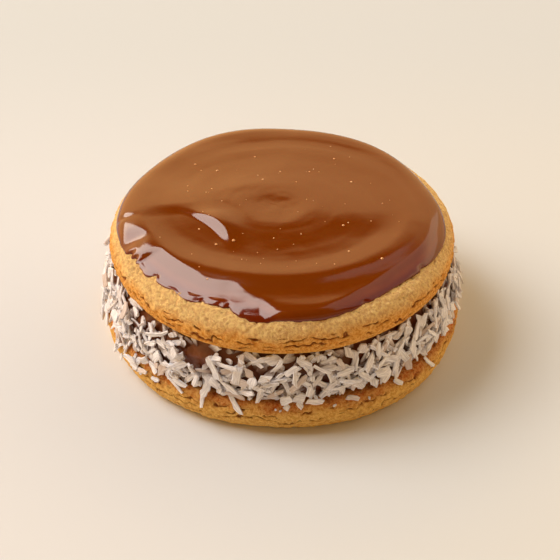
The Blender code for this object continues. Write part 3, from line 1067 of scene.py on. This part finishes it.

# %% [markdown]
# ## Floor, light and camera
#
# The floor is a plain pale sheet, painted a little darker behind and to the right as a painted
# shade. The key light is on the left, a little behind. It is two panels: one lights matt surfaces and
# sets the soft shadow to the right, and the other shows only in the gloss and sets the long
# highlight on the caramel's rim, so each can be put where it is needed. A weak fill light on the
# right softens the shadow.

# %% Floor
FLOOR = 3.0
corners = FLOOR / 2 * np.array([[-1.0, -1.0, 0.0], [1.0, -1.0, 0.0], [1.0, 1.0, 0.0], [-1.0, 1.0, 0.0]])
floor = new_piece("floor", corners, [np.array([[0, 1, 2, 3]])])
material, recipe, shader = food_material("paper_with_painted_shade", Roughness=0.9, Specular_IOR_Level=0.1)
sideways = recipe.node("ShaderNodeSeparateXYZ", {}, {0: recipe.place()}, 0)
behind = recipe.node("ShaderNodeSeparateXYZ", {}, {0: recipe.place()}, 1)
# painted shade: the paper is painted a little darker to the right and behind
paper_with_painted_shade = recipe.blend(recipe.spread(sideways, -0.05, 0.05), shade(225, 230, 236), shade(223, 227, 228))
paper_with_painted_shade = recipe.blend(recipe.spread(behind, 0.02, 0.12), paper_with_painted_shade, shade(214, 222, 228))
feed(recipe, shader, Base_Color=paper_with_painted_shade)
floor.data.materials.append(material)
floor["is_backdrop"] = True

# %% Lights
LIGHTS = (  # name, direction towards the light, size in metres, watts, colour, what it shows in
    ("key_light", (-0.621, 0.166, 0.766), (1.20, 1.20), 30.5, (1.0, 1.0, 1.0), "matt"),
    ("key_mirrored", (-0.546, 0.304, 0.781), (1.64, 1.60), 58.0, (1.0, 0.95, 0.87), "gloss"),
    ("fill_light", (0.60, 0.36, 0.71), (2.00, 1.60), 7.5, (0.92, 0.90, 0.86), "both"),
)
LIGHT_DISTANCE = 2.0


def panel_light(name, direction, size, watts, color, shows_in):
    """Rectangular light that looks at the biscuit from a direction, and that shows in the gloss, on
    matt surfaces or in both."""
    lamp = bpy.data.lights.new(name, "AREA")
    lamp.shape = "RECTANGLE"
    lamp.size, lamp.size_y = size
    lamp.energy = watts
    lamp.color = color
    holder = bpy.data.objects.new(name, lamp)
    bpy.context.scene.collection.objects.link(holder)
    towards = Vector(direction).normalized()
    holder.location = LIGHT_DISTANCE * towards
    holder.rotation_mode = "QUATERNION"
    holder.rotation_quaternion = (-towards).to_track_quat("-Z", "Y")
    holder.visible_glossy = shows_in != "matt"
    holder.visible_diffuse = shows_in != "gloss"


for light in LIGHTS:
    panel_light(*light)
    print(f"{light[0]}: {light[3]} W, shows in {light[5]}")

# %% [markdown]
# The room is bright and warm on the left and right up to a good height, dim in front and dark
# overhead. That is what the caramel mirrors: its back half shows the bright walls and its front half
# the dark ceiling.

# %% Room
WALL_LEFT = (2.35, 1.42, 0.56, 1.0)
WALL_RIGHT = (1.62, 1.02, 0.43, 1.0)
WALL_FRONT = (0.50, 0.29, 0.12, 1.0)
OVERHEAD = (0.03, 0.02, 0.01, 1.0)

world = bpy.data.worlds.new("room")
bpy.context.scene.world = world
world.use_nodes = True
room = Recipe(world.node_tree)
compass = room.node("ShaderNodeTexCoord", output="Generated")
upwards = room.node("ShaderNodeSeparateXYZ", {}, {0: compass}, 2)
backwards = room.node("ShaderNodeSeparateXYZ", {}, {0: compass}, 1)
rightwards = room.node("ShaderNodeSeparateXYZ", {}, {0: compass}, 0)
walls = room.blend(room.spread(rightwards, -0.14, 0.08), WALL_LEFT, WALL_RIGHT)
walls = room.blend(room.spread(backwards, -0.85, 0.25), WALL_FRONT, walls)
glow = room.blend(room.spread(upwards, 0.56, 0.72), walls, OVERHEAD)
room.tree.links.new(glow.socket, world.node_tree.nodes["Background"].inputs["Color"])
print("room:", len(room.tree.nodes), "nodes")

# %% [markdown]
# The camera looks down at the biscuit with a long lens from close by, as one does for small food.

# %% Camera
ELEVATION = math.radians(37.5)
DISTANCE = 300 * MM
LENS = 100.0
CENTRE = Vector((0.0, 0.0, 12.5 * MM))
BELOW = 2.9 * MM                    # the view is centred a little below and left of the biscuit
LEFT = 0.34 * MM

back = Vector((0.0, -math.cos(ELEVATION), math.sin(ELEVATION)))
upright = Vector((0.0, math.sin(ELEVATION), math.cos(ELEVATION)))
camera_data = bpy.data.cameras.new("camera")
camera_data.lens = LENS
camera_data.clip_start = 10 * MM
camera = bpy.data.objects.new("camera", camera_data)
bpy.context.scene.collection.objects.link(camera)
camera.location = CENTRE + DISTANCE * back
camera.rotation_mode = "QUATERNION"
aim = CENTRE - BELOW * upright - Vector((LEFT, 0.0, 0.0))
camera.rotation_quaternion = (aim - camera.location).to_track_quat("-Z", "Y")
bpy.context.scene.camera = camera
bpy.context.scene.view_settings.view_transform = "Standard"
print("camera at", [round(v / MM) for v in camera.location], "mm")

# %% [markdown]
#
# Both boxes, of the solids and of the finished pieces, are measured and their sizes printed, so that
# they can be compared. The finished pieces have to fill the same box as the solids.

# %% Finish
boxes = {"solids": [list(corner) for corner in solid_box], "pieces": [list(corner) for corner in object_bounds()]}
for key, (low, high) in boxes.items():
    print(key, "in mm:", [round((b - a) / MM, 1) for a, b in zip(low, high)])
